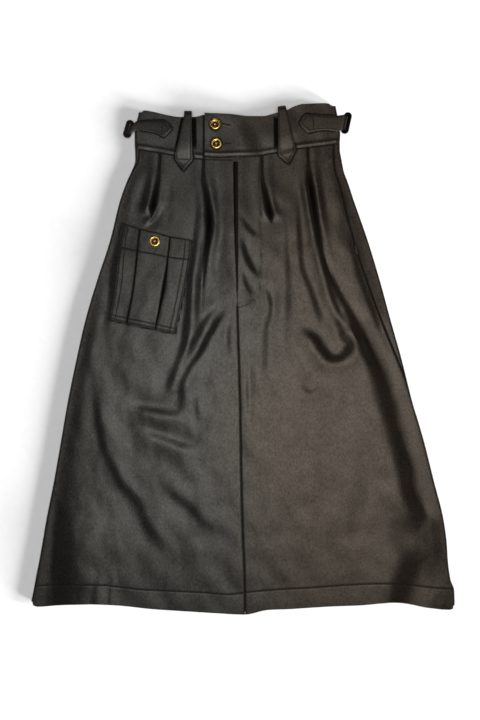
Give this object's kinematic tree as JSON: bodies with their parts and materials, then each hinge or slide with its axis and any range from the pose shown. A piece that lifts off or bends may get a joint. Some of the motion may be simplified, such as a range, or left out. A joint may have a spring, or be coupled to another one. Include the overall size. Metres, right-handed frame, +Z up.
{
  "type": "gurkha skirt, laid flat",
  "caption": "Long A-line wool skirt with a gurkha waistband: crossed buttoned tab, pleated front, long belt loops, side adjusters and a tilted cargo pocket, laid flat face up.",
  "frame": {"origin": "the middle of the skirt's outline seen from above, on the surface it lies on", "axes": "+Y from the hem to the waist, +X towards the wearer's left, +Z up, away from the surface; the front of the skirt faces +Z"},
  "size_m": [0.6996, 0.844, 0.0162],
  "materials": {
    "wool_twill": "dark brown-grey wool twill with a short soft nap and a dull sheen",
    "brass": "aged brass, polished on the rim",
    "black_metal": "satin black painted wire"
  },
  "bodies": {
    "root": {"front_right": "wool_twill", "front_left": "wool_twill", "back": "wool_twill", "fly_underlap": "wool_twill", "waistband_right": "wool_twill", "waistband_left": "wool_twill", "waistband_back": "wool_twill", "belt_loop_right": "wool_twill", "belt_loop_left": "wool_twill", "adjuster_strap_right": "wool_twill", "adjuster_strap_left": "wool_twill", "buckle_right": "black_metal", "buckle_left": "black_metal", "cargo_pocket": "wool_twill", "waist_button_upper": "brass", "waist_button_lower": "brass", "pocket_button": "brass"}
  },
  "joints": []
}
